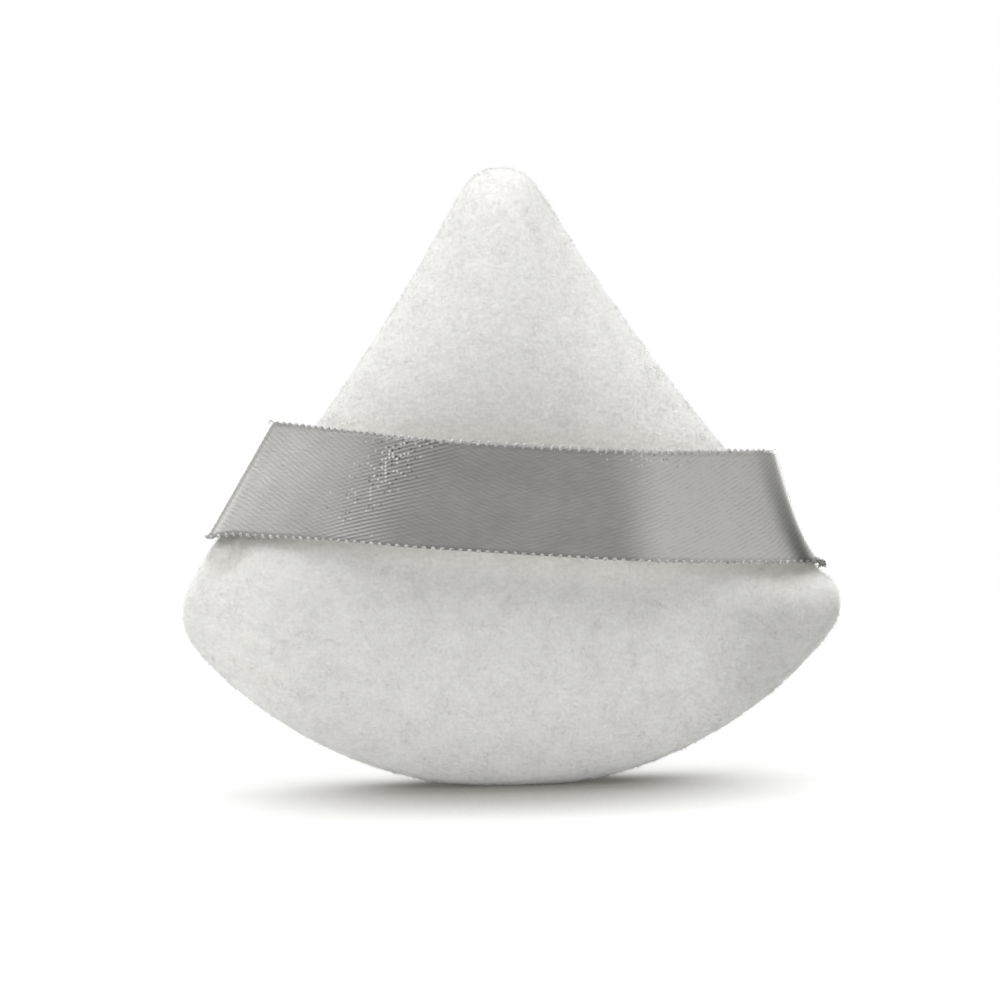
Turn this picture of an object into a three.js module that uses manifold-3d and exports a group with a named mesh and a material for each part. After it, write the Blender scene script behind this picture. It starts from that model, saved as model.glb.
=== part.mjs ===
// A triangular powder puff: two velour covers sewn together round a foam core, with a satin finger
// band across the front whose ends are caught in the side seams.
// Millimetres, +Z up. The puff stands on its round lower edge with the band towards -Y. While it is
// modelled, the seam lies in the plane y = 0 and x = 0 is the middle of the outline.
import * as THREE from "three";
import { mergeVertices } from "three/addons/utils/BufferGeometryUtils.js";
import Module from "manifold-3d";

const wasm = await Module();
wasm.setup();

// The pad seen from the front: three rounded corners, sides that bow inwards, a round lower edge.
const padWidth = 70;
const padHeight = 66;
const apexRadius = 4.6;
const cornerRadius = 6;
const bottomRadius = 44;
const sideRadius = 210;
const footDepth = 0.5; // how much of the soft lower edge is pressed flat where it stands

// The pad seen from the side: a crown on each face, fullest at one point.
const padThickness = 18;
const fullestHeight = 27;
const crownRadius = 26; // the round form that the crown's rings take on towards the fullest point
const crownPower = 3;
const edgePower = 2.2;

// Velour, seam and fits.
const clothThickness = 1.2;
const seamAllowance = 5;
const seamGap = 0.3; // between the two covers where nothing lies in the seam
const clearance = 0.3; // between any other two neighbours

// Sewing thread. The lock stitch goes round all of the rim but the gap that the puff was turned
// through, which a second thread closes.
const threadDiameter = 0.4;
const stitchLength = 3;
const stitchRise = 0.2; // how far a stitch arches off the cloth
const stitchInset = 1; // from the fold to the stitch line
const closingStart = 7; // from the lowest point, along the rim to the right
const closingLength = 26;
const closingStitch = 2.6;
const closingProud = 0.25; // how deep in the groove the closing thread shows
const bastingInset = 3; // from the fold to the middle of the basting
const bastingSwing = 0.7;
const bastingStitch = 2.4;

// Satin band: a straight strip with a thicker woven edge on both sides.
const bandWidth = 12.7;
const bandThickness = 0.3;
const selvedgeDiameter = 0.6;
const bandAboveCorner = 6.8; // the lower edge over the corners' centres, in the middle
const bandTilt = THREE.MathUtils.degToRad(5.1); // the right end sits lower
const fingerGap = 5.6; // between the crown and the band's lower edge, in the middle
const leftEnd = {
  name: "left",
  side: -1,
  lean: 22, // in degrees: how far the upper edge stands forward of the lower one
  lowerDrop: 1.9, // how far below the band's own line each edge enters the seam
  upperDrop: 1.9,
  dropKept: 1.4, // what is left of the drop once the lower edge has turned
  draw: -1.1, // how far the lower edge pulls the seam in; below zero, out
  drawFade: 4.5, // how far along the rim the draw dies away
  lowerBulge: 1.4, // how far each edge stands out past the seam
  upperBulge: 3.6,
  turn: 1.9, // radius of the upper edge's turn
};
const rightEnd = {
  name: "right",
  side: 1,
  lean: 19,
  lowerDrop: 0,
  upperDrop: 1.1,
  dropKept: 0,
  draw: 1.5,
  drawFade: 3,
  lowerBulge: 0.6,
  upperBulge: 4.7,
  turn: 3,
};
const bandEnds = [leftEnd, rightEnd];
const seatFade = 6; // how far along the rim a spread seam closes again

// The band's arch as shares of its span and of its rise off the pad: forward out of each turn,
// straight up to a bend, and straight across the middle.
const liftShare = 0.17;
const bendShares = { left: 0.3, right: 0.72 };
const bendEaseShare = 0.08;
const endEaseShares = { left: 0.03, right: 0.08 };
const dropEaseShare = 0.04; // the share of the span in which the last of the drop is made good

// How finely the arcs of half the outline, the crown and the threads are divided.
const bottomSteps = 8;
const cornerSteps = 7;
const sideSteps = 12;
const apexSteps = 5;
const crownShares = [0.28, 0.52, 0.72, 0.86, 0.955, 1];
const foldAngles = [Math.PI / 4, Math.PI / 2];
const threadSides = 5;
const turnSteps = 5;
const archSteps = 44;
const beadSteps = 5;

const velour = new THREE.MeshStandardMaterial({ color: 0xe4e3de, roughness: 0.95 });
const foam = new THREE.MeshStandardMaterial({ color: 0xf3f0e4, roughness: 1 });
const satin = new THREE.MeshStandardMaterial({ color: 0xa3a19c, roughness: 0.35 });
const cotton = new THREE.MeshStandardMaterial({ color: 0xe9e8e4, roughness: 0.8 });

const halfThickness = padThickness / 2;
const cornerX = padWidth / 2 - cornerRadius;
const cornerZ = bottomRadius - Math.sqrt((bottomRadius - cornerRadius) ** 2 - cornerX ** 2);
const fullest = new THREE.Vector2(0, fullestHeight);

// The right half of the outline in the XZ plane, as touching arcs from the lowest point to the top.
function rightHalf() {
  const corner = new THREE.Vector2(cornerX, cornerZ);
  const apex = new THREE.Vector2(0, padHeight - apexRadius);
  // The side's circle lies outside and touches the circles of the apex and the corner.
  const toApex = sideRadius + apexRadius;
  const toCorner = sideRadius + cornerRadius;
  const line = corner.clone().sub(apex);
  const span = line.length();
  line.normalize();
  const along = (toApex ** 2 - toCorner ** 2 + span ** 2) / (2 * span);
  const off = Math.sqrt(toApex ** 2 - along ** 2);
  const side = apex
    .clone()
    .addScaledVector(line, along)
    .add(new THREE.Vector2(-line.y, line.x).multiplyScalar(off));

  const cornerFrom = Math.atan2(corner.y - bottomRadius, corner.x);
  const cornerTo = side.clone().sub(corner).angle();
  const apexFrom = side.clone().sub(apex).angle();
  const arcs = [
    [0, bottomRadius, bottomRadius, -Math.PI / 2, cornerFrom, false, bottomSteps],
    [corner.x, corner.y, cornerRadius, cornerFrom, cornerTo, false, cornerSteps],
    [side.x, side.y, sideRadius, cornerTo + Math.PI, apexFrom + Math.PI, true, sideSteps],
    [apex.x, apex.y, apexRadius, apexFrom, Math.PI / 2, false, apexSteps],
  ];
  return arcs.flatMap(([x, z, radius, from, to, clockwise, steps], i) =>
    new THREE.EllipseCurve(x, z, radius, radius, from, to, clockwise)
      .getPoints(steps)
      .slice(i ? 1 : 0),
  );
}

// The rim as points with their distance along it, anticlockwise from the lowest point.
function rimPoints() {
  const right = rightHalf();
  const left = right
    .slice(1, -1)
    .reverse()
    .map((p) => new THREE.Vector2(-p.x, p.y));
  const points = [...right, ...left];
  let station = 0;
  return points.map((point, i) => {
    station += i ? point.distanceTo(points[i - 1]) : 0;
    return { point, station };
  });
}

const plainRim = rimPoints();
const rimLength =
  plainRim.at(-1).station + plainRim.at(-1).point.distanceTo(plainRim[0].point);

// Where an edge of the band, at a height over x = 0, crosses the rim on one side.
function crossing(side, height) {
  const half = plainRim.filter(({ point }) => point.x * side >= 0);
  const above = ({ point }) => point.y - (height - Math.tan(bandTilt) * point.x);
  const down = half.sort((a, b) => b.point.y - a.point.y);
  const i = down.findIndex((r) => above(r) <= 0);
  const [upper, lower] = [down[i - 1], down[i]];
  const share = above(upper) / (above(upper) - above(lower));
  const station = (r) => (side < 0 && r.station === 0 ? rimLength : r.station);
  return station(upper) + share * (station(lower) - station(upper));
}

const bandLow = cornerZ + bandAboveCorner;
for (const end of bandEnds) {
  end.angle = THREE.MathUtils.degToRad(end.lean);
  end.lower = crossing(end.side, bandLow - end.lowerDrop);
  end.upper = crossing(end.side, bandLow + bandWidth * Math.cos(end.angle) - end.upperDrop);
}
const bandLean = (bandEnds[0].angle + bandEnds[1].angle) / 2;

// 1 between two stations of the rim, falling smoothly to 0 over a distance beyond them.
function windowOver(from, to, fade) {
  const low = Math.min(from, to);
  const high = Math.max(from, to);
  return (station) => {
    const outside = Math.max(low - station, station - high, 0);
    return 1 - THREE.MathUtils.smoothstep(outside, 0, fade);
  };
}

// What lies in the seam there spreads the covers: the band's ends and the closing thread.
const closingEnd = closingStart + closingLength;
const bandSeat = selvedgeDiameter / 2 + clearance;
const threadSeat = threadDiameter / 2 + clearance;
const bandWindows = bandEnds.map((end) => windowOver(end.lower, end.upper, seatFade));
const closingWindow = windowOver(closingStart, closingEnd, seatFade);
const drawWindows = bandEnds.map((end) => windowOver(end.lower, end.lower, end.drawFade));
const seatAt = (station) =>
  Math.max(
    seamGap / 2,
    ...bandWindows.map((open) => THREE.MathUtils.lerp(seamGap / 2, bandSeat, open(station))),
    THREE.MathUtils.lerp(seamGap / 2, threadSeat, closingWindow(station)),
  );

// Outward normals of a closed run of points.
function normalsOf(points) {
  return points.map((_, i) => {
    const next = points[(i + 1) % points.length];
    const last = points.at(i - 1);
    return new THREE.Vector2(next.y - last.y, last.x - next.x).normalize();
  });
}

// The rim as sewn: drawn in at the band, with its normals and half the gap between the covers.
function sewnRim() {
  const normals = normalsOf(plainRim.map((r) => r.point));
  const drawn = plainRim.map(({ point, station }, i) => {
    const draw = bandEnds.reduce((sum, end, k) => sum + end.draw * drawWindows[k](station), 0);
    return point.clone().addScaledVector(normals[i], -draw);
  });
  const sewn = normalsOf(drawn);
  return plainRim.map(({ station }, i) => ({
    point: drawn[i],
    normal: sewn[i],
    station,
    halfGap: seatAt(station),
  }));
}

const rim = sewnRim();

// The rim between its points: what it holds at any station.
function rimAt(station) {
  const wrapped = THREE.MathUtils.euclideanModulo(station, rimLength);
  const i = rim.findLastIndex((r) => r.station <= wrapped);
  const from = rim[i];
  const to = rim[(i + 1) % rim.length];
  const length = (to.station || rimLength) - from.station;
  const share = (wrapped - from.station) / length;
  return {
    point: from.point.clone().lerp(to.point, share),
    normal: from.normal.clone().lerp(to.normal, share).normalize(),
    halfGap: THREE.MathUtils.lerp(from.halfGap, to.halfGap, share),
  };
}

// How full the crown is at a share of the way out: 1 in the middle, 0 at the rim.
const crown = (share) => (1 - share ** crownPower) ** (1 / edgePower);

// Depths from the seam's plane: the covers' fold, the seam allowance's groove in the core, and
// the share of the way out at which the core's crown meets that groove.
const foldDepth = (r) => r.halfGap + clothThickness;
const grooveDepth = (r) => foldDepth(r) + threadDiameter + stitchRise + 2 * clearance;
const coreThickness = halfThickness - clothThickness - clearance;
const lipShare = (r) => {
  const rise = (grooveDepth(r) - foldDepth(r)) / (coreThickness - foldDepth(r));
  return (1 - rise ** edgePower) ** (1 / crownPower);
};

// A ring of the pad: the rim moved in by an inset, then drawn to the fullest point. Share and
// depth are functions of the rim, and round says whether the ring turns rounder on its way in.
function ring(inset, shareOf, depthOf, round) {
  return rim.map((r) => {
    const ray = r.point.clone().addScaledVector(r.normal, -inset).sub(fullest);
    const share = shareOf(r);
    const length = ray.length();
    const rounded = round ? THREE.MathUtils.lerp(crownRadius, length, share) : length;
    ray.setLength(share * rounded).add(fullest);
    return new THREE.Vector3(ray.x, -depthOf(r, share), ray.y);
  });
}

// The crown of a layer of the pad, from its middle out to where the core's groove begins.
function crownRings(inset, thickness) {
  const depth = (r, share) => foldDepth(r) + (thickness - foldDepth(r)) * crown(share);
  return crownShares.map((share) => ring(inset, (r) => share * lipShare(r), depth, true));
}

const middle = (depth) => new THREE.Vector3(fullest.x, -depth, fullest.y);
const centroid = (points) =>
  points.reduce((sum, p) => sum.add(p), new THREE.Vector3()).divideScalar(points.length);

// A closed body through rings of equally many points, from one end point to the other.
function loft(rings, first = centroid(rings[0]), last = centroid(rings.at(-1))) {
  const count = rings[0].length;
  const points = [first, ...rings.flat(), last];
  const index = [];
  const at = (k, j) => 1 + k * count + (j % count);
  for (let j = 0; j < count; j++) {
    index.push(0, at(0, j), at(0, j + 1));
    for (let k = 0; k < rings.length - 1; k++) {
      index.push(at(k, j), at(k + 1, j), at(k + 1, j + 1));
      index.push(at(k, j), at(k + 1, j + 1), at(k, j + 1));
    }
    index.push(points.length - 1, at(rings.length - 1, j + 1), at(rings.length - 1, j));
  }
  const geometry = new THREE.BufferGeometry().setFromPoints(points);
  geometry.setIndex(index);
  return geometry;
}

// The same body on the other side of the seam's plane.
function mirrored(geometry) {
  const other = geometry.clone().scale(1, -1, 1);
  const index = [...other.index.array];
  for (let i = 0; i < index.length; i += 3) {
    [index[i + 1], index[i + 2]] = [index[i + 2], index[i + 1]];
  }
  other.setIndex(index);
  return other;
}

function toSolid(geometry) {
  const bare = geometry.clone();
  bare.deleteAttribute("normal");
  bare.deleteAttribute("uv");
  const merged = mergeVertices(bare);
  return new wasm.Manifold(
    new wasm.Mesh({
      numProp: 3,
      vertProperties: new Float32Array(merged.attributes.position.array),
      triVerts: new Uint32Array(merged.index.array),
    }),
  );
}

function toGeometry(solid) {
  const { vertProperties, triVerts } = solid.getMesh();
  const geometry = new THREE.BufferGeometry();
  geometry.setAttribute("position", new THREE.BufferAttribute(vertProperties, 3));
  geometry.setIndex(new THREE.BufferAttribute(triVerts, 1));
  return geometry;
}

// Cuts off what reaches below the floor, so that the soft edge stands on a flat foot.
function pressedFlat(geometry) {
  const below = new THREE.BoxGeometry(padWidth, padThickness * 2, padHeight);
  below.translate(0, 0, footDepth - padHeight / 2);
  return toGeometry(toSolid(geometry).subtract(toSolid(below)));
}

// A velour cover: its crown, the fold at the seam, and the seam allowance turned inwards.
function frontCover() {
  const allowanceShare = 1 - (clothThickness + seamAllowance) / nearestRim();
  const edge = ring(0, () => 1, foldDepth, false);
  const fold = foldAngles.map((angle) =>
    ring(
      clothThickness * (1 - Math.cos(angle)),
      () => 1,
      (r) => foldDepth(r) - clothThickness * Math.sin(angle),
      false,
    ),
  );
  const allowance = [(r) => r.halfGap, foldDepth].map((depth) =>
    ring(0, () => allowanceShare, depth, false),
  );
  const innerFold = ring(clothThickness, () => 1, foldDepth, false);
  const rings = [
    ...crownRings(0, halfThickness),
    edge,
    ...fold,
    ...allowance,
    innerFold,
    ...crownRings(clothThickness, halfThickness - clothThickness).reverse(),
  ];
  return loft(rings, middle(halfThickness), middle(halfThickness - clothThickness));
}

// How far the fullest point is from the nearest point of the rim.
function nearestRim() {
  return Math.min(...rim.map((r) => r.point.distanceTo(fullest)));
}

// The foam core: the covers' inner form, with a groove all round that takes the seam allowance.
function foamCore() {
  const grooveShare = 1 - (clothThickness + seamAllowance + clearance) / nearestRim();
  const front = crownRings(clothThickness + clearance, coreThickness);
  const groove = ring(0, () => grooveShare, grooveDepth, false);
  const half = [...front, groove];
  const back = half.map((points) => points.map((p) => new THREE.Vector3(p.x, -p.y, p.z)));
  return loft([...half, ...back.reverse()], middle(coreThickness), middle(-coreThickness));
}

// A thread of the sewing diameter through points, each end cut square.
function thread(points) {
  const path = new THREE.CatmullRomCurve3(points);
  const along = points.map((_, i) => path.getTangent(i / (points.length - 1)));
  return loft(
    points.map((p, i) => {
      const up = new THREE.Vector3(0, 1, 0).cross(along[i]).normalize();
      const out = along[i].clone().cross(up).normalize();
      return Array.from({ length: threadSides }, (_, k) => {
        const angle = (-2 * Math.PI * k) / threadSides;
        return p
          .clone()
          .addScaledVector(up, (Math.cos(angle) * threadDiameter) / 2)
          .addScaledVector(out, (Math.sin(angle) * threadDiameter) / 2);
      });
    }),
  );
}

// A point beside the rim: an inset from it and a depth in front of the seam's plane.
function besideRim(station, inset, depthOf) {
  const r = rimAt(station);
  const at = r.point.clone().addScaledVector(r.normal, -inset);
  return new THREE.Vector3(at.x, -depthOf(r), at.y);
}

const onAllowance = (r) => foldDepth(r) + clearance + threadDiameter / 2;

// The lock stitch's needle thread: a row of low arches on the front allowance, which runs from
// one end of the turning gap round to the other.
function needleThread() {
  const run = rimLength - closingLength;
  const count = 2 * Math.round(run / stitchLength);
  const points = Array.from({ length: count + 1 }, (_, i) =>
    besideRim(
      closingEnd + (run * i) / count,
      clothThickness + stitchInset,
      (r) => onAllowance(r) + (i % 2) * stitchRise,
    ),
  );
  return thread(points);
}

// The thread that closes the turning gap: it dips in and out of the groove between the folds.
function closingThread() {
  const count = 4 * Math.round(closingLength / closingStitch);
  const deep = clothThickness;
  const points = Array.from({ length: count + 1 }, (_, i) => {
    const wave = (1 - Math.cos((Math.PI * i) / 2)) / 2;
    const inset = THREE.MathUtils.lerp(deep, closingProud, wave);
    return besideRim(closingStart + (closingLength * i) / count, inset, () => 0);
  });
  return thread(points);
}

// The zigzag that held an end of the band to the front cover before the seam was sewn.
function basting(end) {
  const length = end.lower - end.upper;
  const count = 2 * Math.round(Math.abs(length) / bastingStitch);
  const points = Array.from({ length: count + 1 }, (_, i) => {
    const swing = i % 2 ? bastingSwing : -bastingSwing;
    const inset = clothThickness + bastingInset + swing;
    return besideRim(end.upper + (length * i) / count, inset, onAllowance);
  });
  return thread(points);
}

// The arch's points, each a share of the span across it and a share of its rise.
function archShares() {
  const { left, right } = bendShares;
  const leftSlope = (1 - liftShare) / left;
  const rightSlope = (1 - liftShare) / (1 - right);
  const atRight = 1 - endEaseShares.right;
  const path = new THREE.Path();
  path.quadraticCurveTo(0, liftShare, endEaseShares.left, liftShare + endEaseShares.left * leftSlope);
  path.lineTo(left - bendEaseShare, 1 - bendEaseShare * leftSlope);
  path.quadraticCurveTo(left, 1, left + bendEaseShare, 1);
  path.lineTo(right - bendEaseShare, 1);
  path.quadraticCurveTo(right, 1, right + bendEaseShare, 1 - bendEaseShare * rightSlope);
  path.lineTo(atRight, liftShare + endEaseShares.right * rightSlope);
  path.quadraticCurveTo(1, liftShare, 1, 0);
  return path.getSpacedPoints(archSteps);
}

// One edge of the band, from the tail in the left seam across the front to the tail in the right.
function bandEdge(which) {
  const lower = which === "lower";
  const front = halfThickness + fingerGap + selvedgeDiameter / 2;
  const reach = lower ? front : front + bandWidth * Math.sin(bandLean);
  const hugging = bandSeat + clothThickness;
  const out = new THREE.Vector2(Math.cos(bandTilt), -Math.sin(bandTilt));
  const ends = bandEnds.map((end) => {
    const seam = rimAt(end[which]).point;
    const rise = lower ? 0 : bandWidth * Math.cos(end.angle);
    return {
      seam,
      out: out.clone().multiplyScalar(end.side),
      drop: bandLow + rise - Math.tan(bandTilt) * seam.x - seam.y,
      kept: lower ? end.dropKept : 0,
      bulge: lower ? end.lowerBulge : end.upperBulge,
      turn: lower ? hugging : end.turn,
    };
  });
  const place = (at, depth, raise) => new THREE.Vector3(at.x, -depth, at.y + raise);

  const tails = ends.map(({ seam, out, drop, kept, bulge, turn }) => {
    const beside = (along, depth, raise) =>
      place(seam.clone().addScaledVector(out, along), depth, raise);
    const tail = [beside(-clothThickness - seamAllowance, 0, 0), beside(-clothThickness, 0, 0)];
    const turned = Array.from({ length: turnSteps }, (_, i) => {
      const angle = ((Math.PI / 2) * i) / turnSteps;
      const raise = ((drop - kept) * i) / turnSteps;
      return beside(bulge - turn * (1 - Math.sin(angle)), turn * (1 - Math.cos(angle)), raise);
    });
    return [...tail, ...turned];
  });

  const [left, right] = ends.map(({ seam, out, bulge }) => seam.clone().addScaledVector(out, bulge));
  const arch = archShares().map(({ x: across, y: rise }) => {
    const turn = THREE.MathUtils.lerp(ends[0].turn, ends[1].turn, across);
    const drop = THREE.MathUtils.lerp(ends[0].drop, ends[1].drop, across);
    const { kept } = ends[Math.round(across)];
    const fromEnd = Math.min(across, 1 - across);
    const raise = drop - kept * (1 - THREE.MathUtils.smoothstep(fromEnd, 0, dropEaseShare));
    return place(left.clone().lerp(right, across), turn + (reach - turn) * rise, raise);
  });
  return [...tails[0], ...arch, ...tails[1].reverse()];
}

// The band's section: a bead along each edge, given as distances up from the lower edge and out
// from the band's middle.
function bandSection() {
  const radius = selvedgeDiameter / 2;
  const neck = Math.asin(bandThickness / selvedgeDiameter);
  const bead = (centre, from) =>
    Array.from({ length: beadSteps + 1 }, (_, i) => {
      const angle = from - neck - ((2 * Math.PI - 2 * neck) * i) / beadSteps;
      return [centre + radius * Math.cos(angle), radius * Math.sin(angle)];
    });
  return [...bead(radius, 0), ...bead(bandWidth - radius, -Math.PI)];
}

// The satin band between its two edges.
function satinBand() {
  const lower = bandEdge("lower");
  const upper = bandEdge("upper");
  const section = bandSection();
  const paths = [lower, upper].map((points) => new THREE.CatmullRomCurve3(points));
  return loft(
    lower.map((low, i) => {
      const across = upper[i].clone().sub(low);
      const along = paths[0].getTangent(i / (lower.length - 1));
      along.add(paths[1].getTangent(i / (upper.length - 1)));
      const facing = along.cross(across).normalize();
      return section.map(([up, out]) =>
        low.clone().addScaledVector(across, up / bandWidth).addScaledVector(facing, out),
      );
    }),
  );
}

function piece(name, geometry, material) {
  const mesh = new THREE.Mesh(geometry, material);
  mesh.name = name;
  return mesh;
}

const cover = frontCover();
const needle = needleThread();
const puff = new THREE.Group();
puff.add(
  piece("front_cover", pressedFlat(cover), velour),
  piece("back_cover", pressedFlat(mirrored(cover)), velour),
  piece("foam_core", foamCore(), foam),
  piece("satin_band", satinBand(), satin),
  piece("needle_thread", needle, cotton),
  piece("bobbin_thread", mirrored(needle), cotton),
  piece("closing_thread", closingThread(), cotton),
  ...bandEnds.map((end) => piece(end.name + "_band_basting", basting(end), cotton)),
);

// The origin is on the floor, under the middle of the whole puff.
const bounds = new THREE.Box3().setFromObject(puff);
const centre = bounds.getCenter(new THREE.Vector3());
puff.position.set(-centre.x, -centre.y, -bounds.min.z);

export default puff;
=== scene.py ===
import math

import bpy
import numpy as np
from mathutils import Euler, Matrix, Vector
from mathutils.bvhtree import BVHTree
from mathutils.geometry import delaunay_2d_cdt

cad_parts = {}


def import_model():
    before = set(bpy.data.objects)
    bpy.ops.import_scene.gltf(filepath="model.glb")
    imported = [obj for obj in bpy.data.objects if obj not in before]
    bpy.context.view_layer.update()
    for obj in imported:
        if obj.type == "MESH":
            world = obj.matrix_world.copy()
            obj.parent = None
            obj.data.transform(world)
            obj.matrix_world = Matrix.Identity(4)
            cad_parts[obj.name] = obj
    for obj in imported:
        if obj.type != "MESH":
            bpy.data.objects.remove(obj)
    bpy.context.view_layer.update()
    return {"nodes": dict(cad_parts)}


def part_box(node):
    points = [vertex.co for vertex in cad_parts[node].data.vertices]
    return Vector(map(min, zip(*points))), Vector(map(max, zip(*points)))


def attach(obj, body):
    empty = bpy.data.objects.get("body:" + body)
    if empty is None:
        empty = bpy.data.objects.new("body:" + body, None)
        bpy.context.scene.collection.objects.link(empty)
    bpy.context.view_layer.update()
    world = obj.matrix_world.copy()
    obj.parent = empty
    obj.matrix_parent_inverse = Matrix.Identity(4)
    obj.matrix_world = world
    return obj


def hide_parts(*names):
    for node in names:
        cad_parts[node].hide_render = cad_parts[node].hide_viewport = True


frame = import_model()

MM = 0.001

# The view of the photograph: nearly level, a long lens, the puff leaning a little to the left.
VIEW_TARGET = Vector((-0.94, 0, 30.67)) * MM
VIEW_DISTANCE = 400 * MM
VIEW_ELEVATION = math.radians(4.5)
VIEW_ROLL = math.radians(-1.6)
VIEW_WIDTH = 104.9 * MM
SENSOR = 36.0

# The pad's form, as on the solids. At a SEAM_DRAW of 1 the allowances' inner ends would touch.
FULLEST_HEIGHT = 26.5 * MM
CROWN_RADIUS = 26 * MM
CROWN_POWER = 3
EDGE_POWER = 2.2
BOTTOM_RADIUS = 44 * MM
BOTTOM_CENTRE = np.array([0, 43.5]) * MM
FOOT_REACH = 9 * MM
CLOTH = 1.2 * MM
ALLOWANCE = 4.2 * MM
PLAIN_HALF_GAP = 0.15 * MM
SEAM_DRAW = 0.85

# The covers' mesh.
OUTLINE_ANGLES = 720
OUTLINE_HALVINGS = 22
RIM_STEP = 0.85 * MM
RIM_ROUNDING = 0.8 * MM
RIM_DEPTHS = np.array([0, 0.5, 1.1, 1.75, 2.4, 3.05, 3.7]) * MM
GRID = 1.05 * MM
FOLD_STEPS = 5

# The covers' filling by simulation, run ten times as large. Its moves within the seam's plane are
# scaled down, all are capped, and neighbouring points' are averaged a few times.
SIM_SCALE = 10
SIM_FRAMES = 16
SIM_ROUGHNESS = 0.12 * MM
CLOTH_SETTINGS = {
    "quality": 5, "mass": 0.3, "tension_stiffness": 12, "compression_stiffness": 6,
    "shear_stiffness": 4, "bending_stiffness": 0.6, "shrink_min": -0.004, "use_pressure": True,
    "uniform_pressure_force": 3, "vertex_group_mass": "pins",
}
IN_PLANE_SHARE = 0.6
SWELL_CAP = 0.3 * MM
SWELL_SMOOTHING = 4

# Puckers along the seam, and slow waves all over a cover.
PUCKER = 0.1 * MM
PUCKER_SIZE = 6 * MM
PUCKER_SHARE = 0.16
UNEVENNESS = 0.08 * MM
UNEVENNESS_SIZE = 22 * MM

# The foam's distance from the covers and the allowance, and its groove's depth past the latter.
FOAM_CROWN_GAP = 0.7 * MM
FOAM_RIM_GAP = 0.4 * MM
FOAM_LIP = 0.9 * MM
FOAM_GROOVE = 2.8 * MM

# The beads of the woven edges and how much single ones differ. Of each edge: half length, half
# width and half depth in millimetres, and slant.
BEAD_PITCH = 0.93 * MM
BEAD_SIDES = 8
BEAD_RINGS = 5
BEAD_SIZES = (0.92, 1.08)
LOWER_BEAD = ((0.31, 0.25, 0.3), math.radians(12))
UPPER_BEAD = ((0.36, 0.23, 0.3), math.radians(60))

# Pile: fibres of short velour that lie a little to one side, in tufts.
PILE_COUNT = 90000
PILE_ROOT = 0.3 * MM
PILE_LENGTH = 0.62 * MM
PILE_LENGTHS = (0.75, 1.15)
SHORTEST_FIBRE = 0.2 * MM
PILE_WIDTH = 0.07 * MM
PILE_ROW = 0.48 * MM
ROW_PULL = 0.18
NAP = np.array([0.15, 0, -0.35])
TUFT_SIZE = 1.6 * MM
TUFT_LEAN = 0.22
FIBRE_SPREAD = 0.28
# No fibre stands in the seam's gap or under the foot; those behind the ribbon end short of it.
GAP_MARGIN = 0.45 * MM
GAP_RIM_SHARE = 0.957
FOOT_MARGIN = 0.05 * MM
RIBBON_HEIGHTS = (18 * MM, 44 * MM)
RIBBON_CLEARANCE = 0.12 * MM

# Below the band the front's pile is brushed down: the heights between which this fades out. Painted
# shade there: how much darker the colour is made, and the change of that towards the left and the
# right side, with the millimetres from the middle between which it sets in.
LAID_HEIGHTS = (20 * MM, 32 * MM)
PAINTED_SHADE_BELOW_BAND = 0.14
LEFT_PAINTED_SHADE = (-0.1, 20, 29)
RIGHT_PAINTED_SHADE = (0.19, 17, 28)

# The band, as on the solid. Of each end: its lean, and how far its lower edge hangs below the
# straight line, close to the corner (kept) and over a longer stretch (sag). Of each edge there:
# where it leaves the seam, how far it bulges past it and how tightly it turns, in millimetres.
BAND_WIDTH = 12.7 * MM
BAND_THICKNESS = 0.3 * MM
BAND_LOW = 25.74 * MM
BAND_TILT = math.radians(5.1)
BAND_LEAN = math.radians(20.5)
FINGER_GAP = 5.6 * MM
SELVEDGE = 0.3 * MM
TAIL = 5 * MM
BAND_ENDS = [
    {"side": -1, "lean": math.radians(22), "kept": 0.7 * MM, "sag": 0.75 * MM,
        "lower": (-30.88, 27.15, 1.4, 1.8), "upper": (-21.08, 37.50, 3.6, 1.9)},
    {"side": 1, "lean": math.radians(19), "kept": 0, "sag": 0,
        "lower": (32.54, 21.89, 0.6, 1.8), "upper": (23.40, 34.56, 4.7, 3.0)},
]
# Its arch, as shares of the span, but LIFT_SHARE: how much of the rise the steep ends take.
DROP_EASE_SHARE = 0.04
SAG_SHARE = 0.27
LIFT_SHARE = 0.17
BEND_SHARES = (0.3, 0.72)
BEND_EASE_SHARE = 0.08
END_EASE_SHARES = (0.014, 0.08)
SLOPE_SHARES = (0.1, 0.16)
TURN_STEPS = 12

# The ribbon's mesh, the hollow of its right fold, and where the material's lines are mirrored.
BAND_ROW = 0.35 * MM
BAND_COLUMNS = 24
RIGHT_FOLD_HOLLOW = 0.95 * MM
RIGHT_FOLD_REACH = (5 * MM, 1 * MM)
RIGHT_FOLD_SKEW = 0.62
BAND_MIDDLE = 46.5 * MM

rng = np.random.default_rng(11)


# Helpers

def new_object(name, data):
    thing = bpy.data.objects.new(name, data)
    bpy.context.scene.collection.objects.link(thing)
    return thing


def new_piece(name, verts, faces, material):
    mesh = bpy.data.meshes.new(name)
    mesh.from_pydata([tuple(v) for v in verts], [], [tuple(f) for f in faces])
    mesh.polygons.foreach_set("use_smooth", [True] * len(mesh.polygons))
    mesh.materials.append(material)
    return new_object(name, mesh)


def mark(piece, **attributes):
    """Gives the piece's points values that its material reads by name."""
    for name, values in attributes.items():
        piece.data.attributes.new(name, "FLOAT", "POINT").data.foreach_set("value", values)


def points_of(mesh):
    points = np.empty(3 * len(mesh.vertices))
    mesh.vertices.foreach_get("co", points)
    return points.reshape(-1, 3)


def tree_of(mesh):
    return BVHTree.FromPolygons([v.co for v in mesh.vertices], [p.vertices for p in mesh.polygons])


def unit(vectors):
    return vectors / np.maximum(np.linalg.norm(vectors, axis=-1, keepdims=True), 1e-12)


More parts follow.
